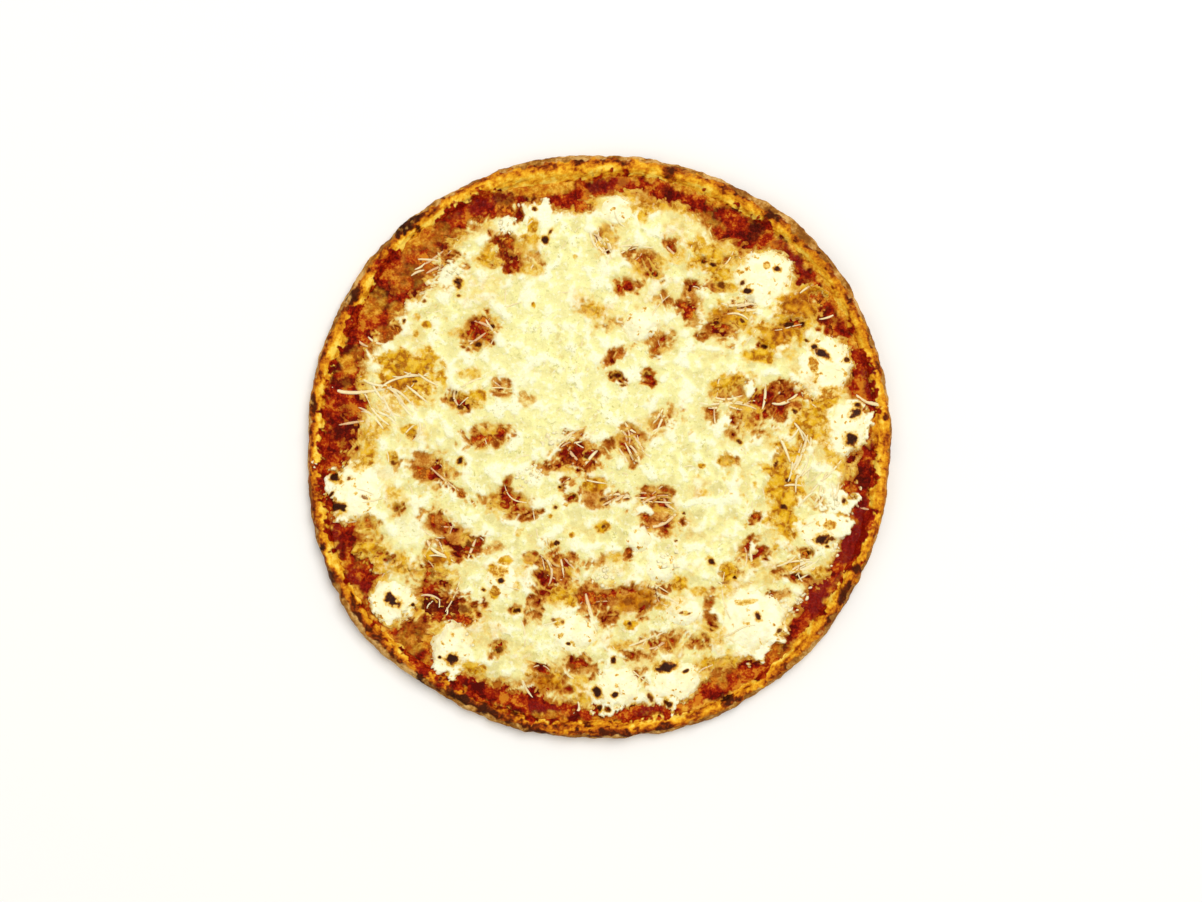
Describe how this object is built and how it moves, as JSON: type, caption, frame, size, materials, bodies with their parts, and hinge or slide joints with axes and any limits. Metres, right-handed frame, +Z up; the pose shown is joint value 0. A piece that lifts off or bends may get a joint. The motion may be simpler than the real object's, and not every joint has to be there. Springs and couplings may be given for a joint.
{
  "type": "four cheese pizza",
  "caption": "Round thin-crust pizza with a low browned rim, tomato sauce, melted cheese with grated shreds on top, and charred goat cheese dollops.",
  "frame": {"origin": "centre of the pizza's bounding box, on the surface it rests on", "axes": "+Z up through the pizza; +Y is the picture's up and +X its right"},
  "size_m": [0.2976, 0.2976, 0.0118],
  "materials": {
    "baked_dough": "matte, golden to dark brown baked dough",
    "tomato_sauce": "wet, browned in places",
    "melted_cheese": "satin, pale yellow with amber and brown patches",
    "goat_cheese": "soft matte, creamy white with charred spots"
  },
  "bodies": {
    "root": {"crust": "baked_dough", "tomato_sauce": "tomato_sauce", "melted_cheese": "melted_cheese", "goat_cheese_01": "goat_cheese", "goat_cheese_02": "goat_cheese", "goat_cheese_03": "goat_cheese", "goat_cheese_04": "goat_cheese", "goat_cheese_05": "goat_cheese", "goat_cheese_06": "goat_cheese", "goat_cheese_07": "goat_cheese", "goat_cheese_08": "goat_cheese", "goat_cheese_09": "goat_cheese", "goat_cheese_10": "goat_cheese", "goat_cheese_11": "goat_cheese", "goat_cheese_12": "goat_cheese", "goat_cheese_13": "goat_cheese", "goat_cheese_14": "goat_cheese", "goat_cheese_15": "goat_cheese", "goat_cheese_16": "goat_cheese", "goat_cheese_17": "goat_cheese"}
  },
  "joints": []
}
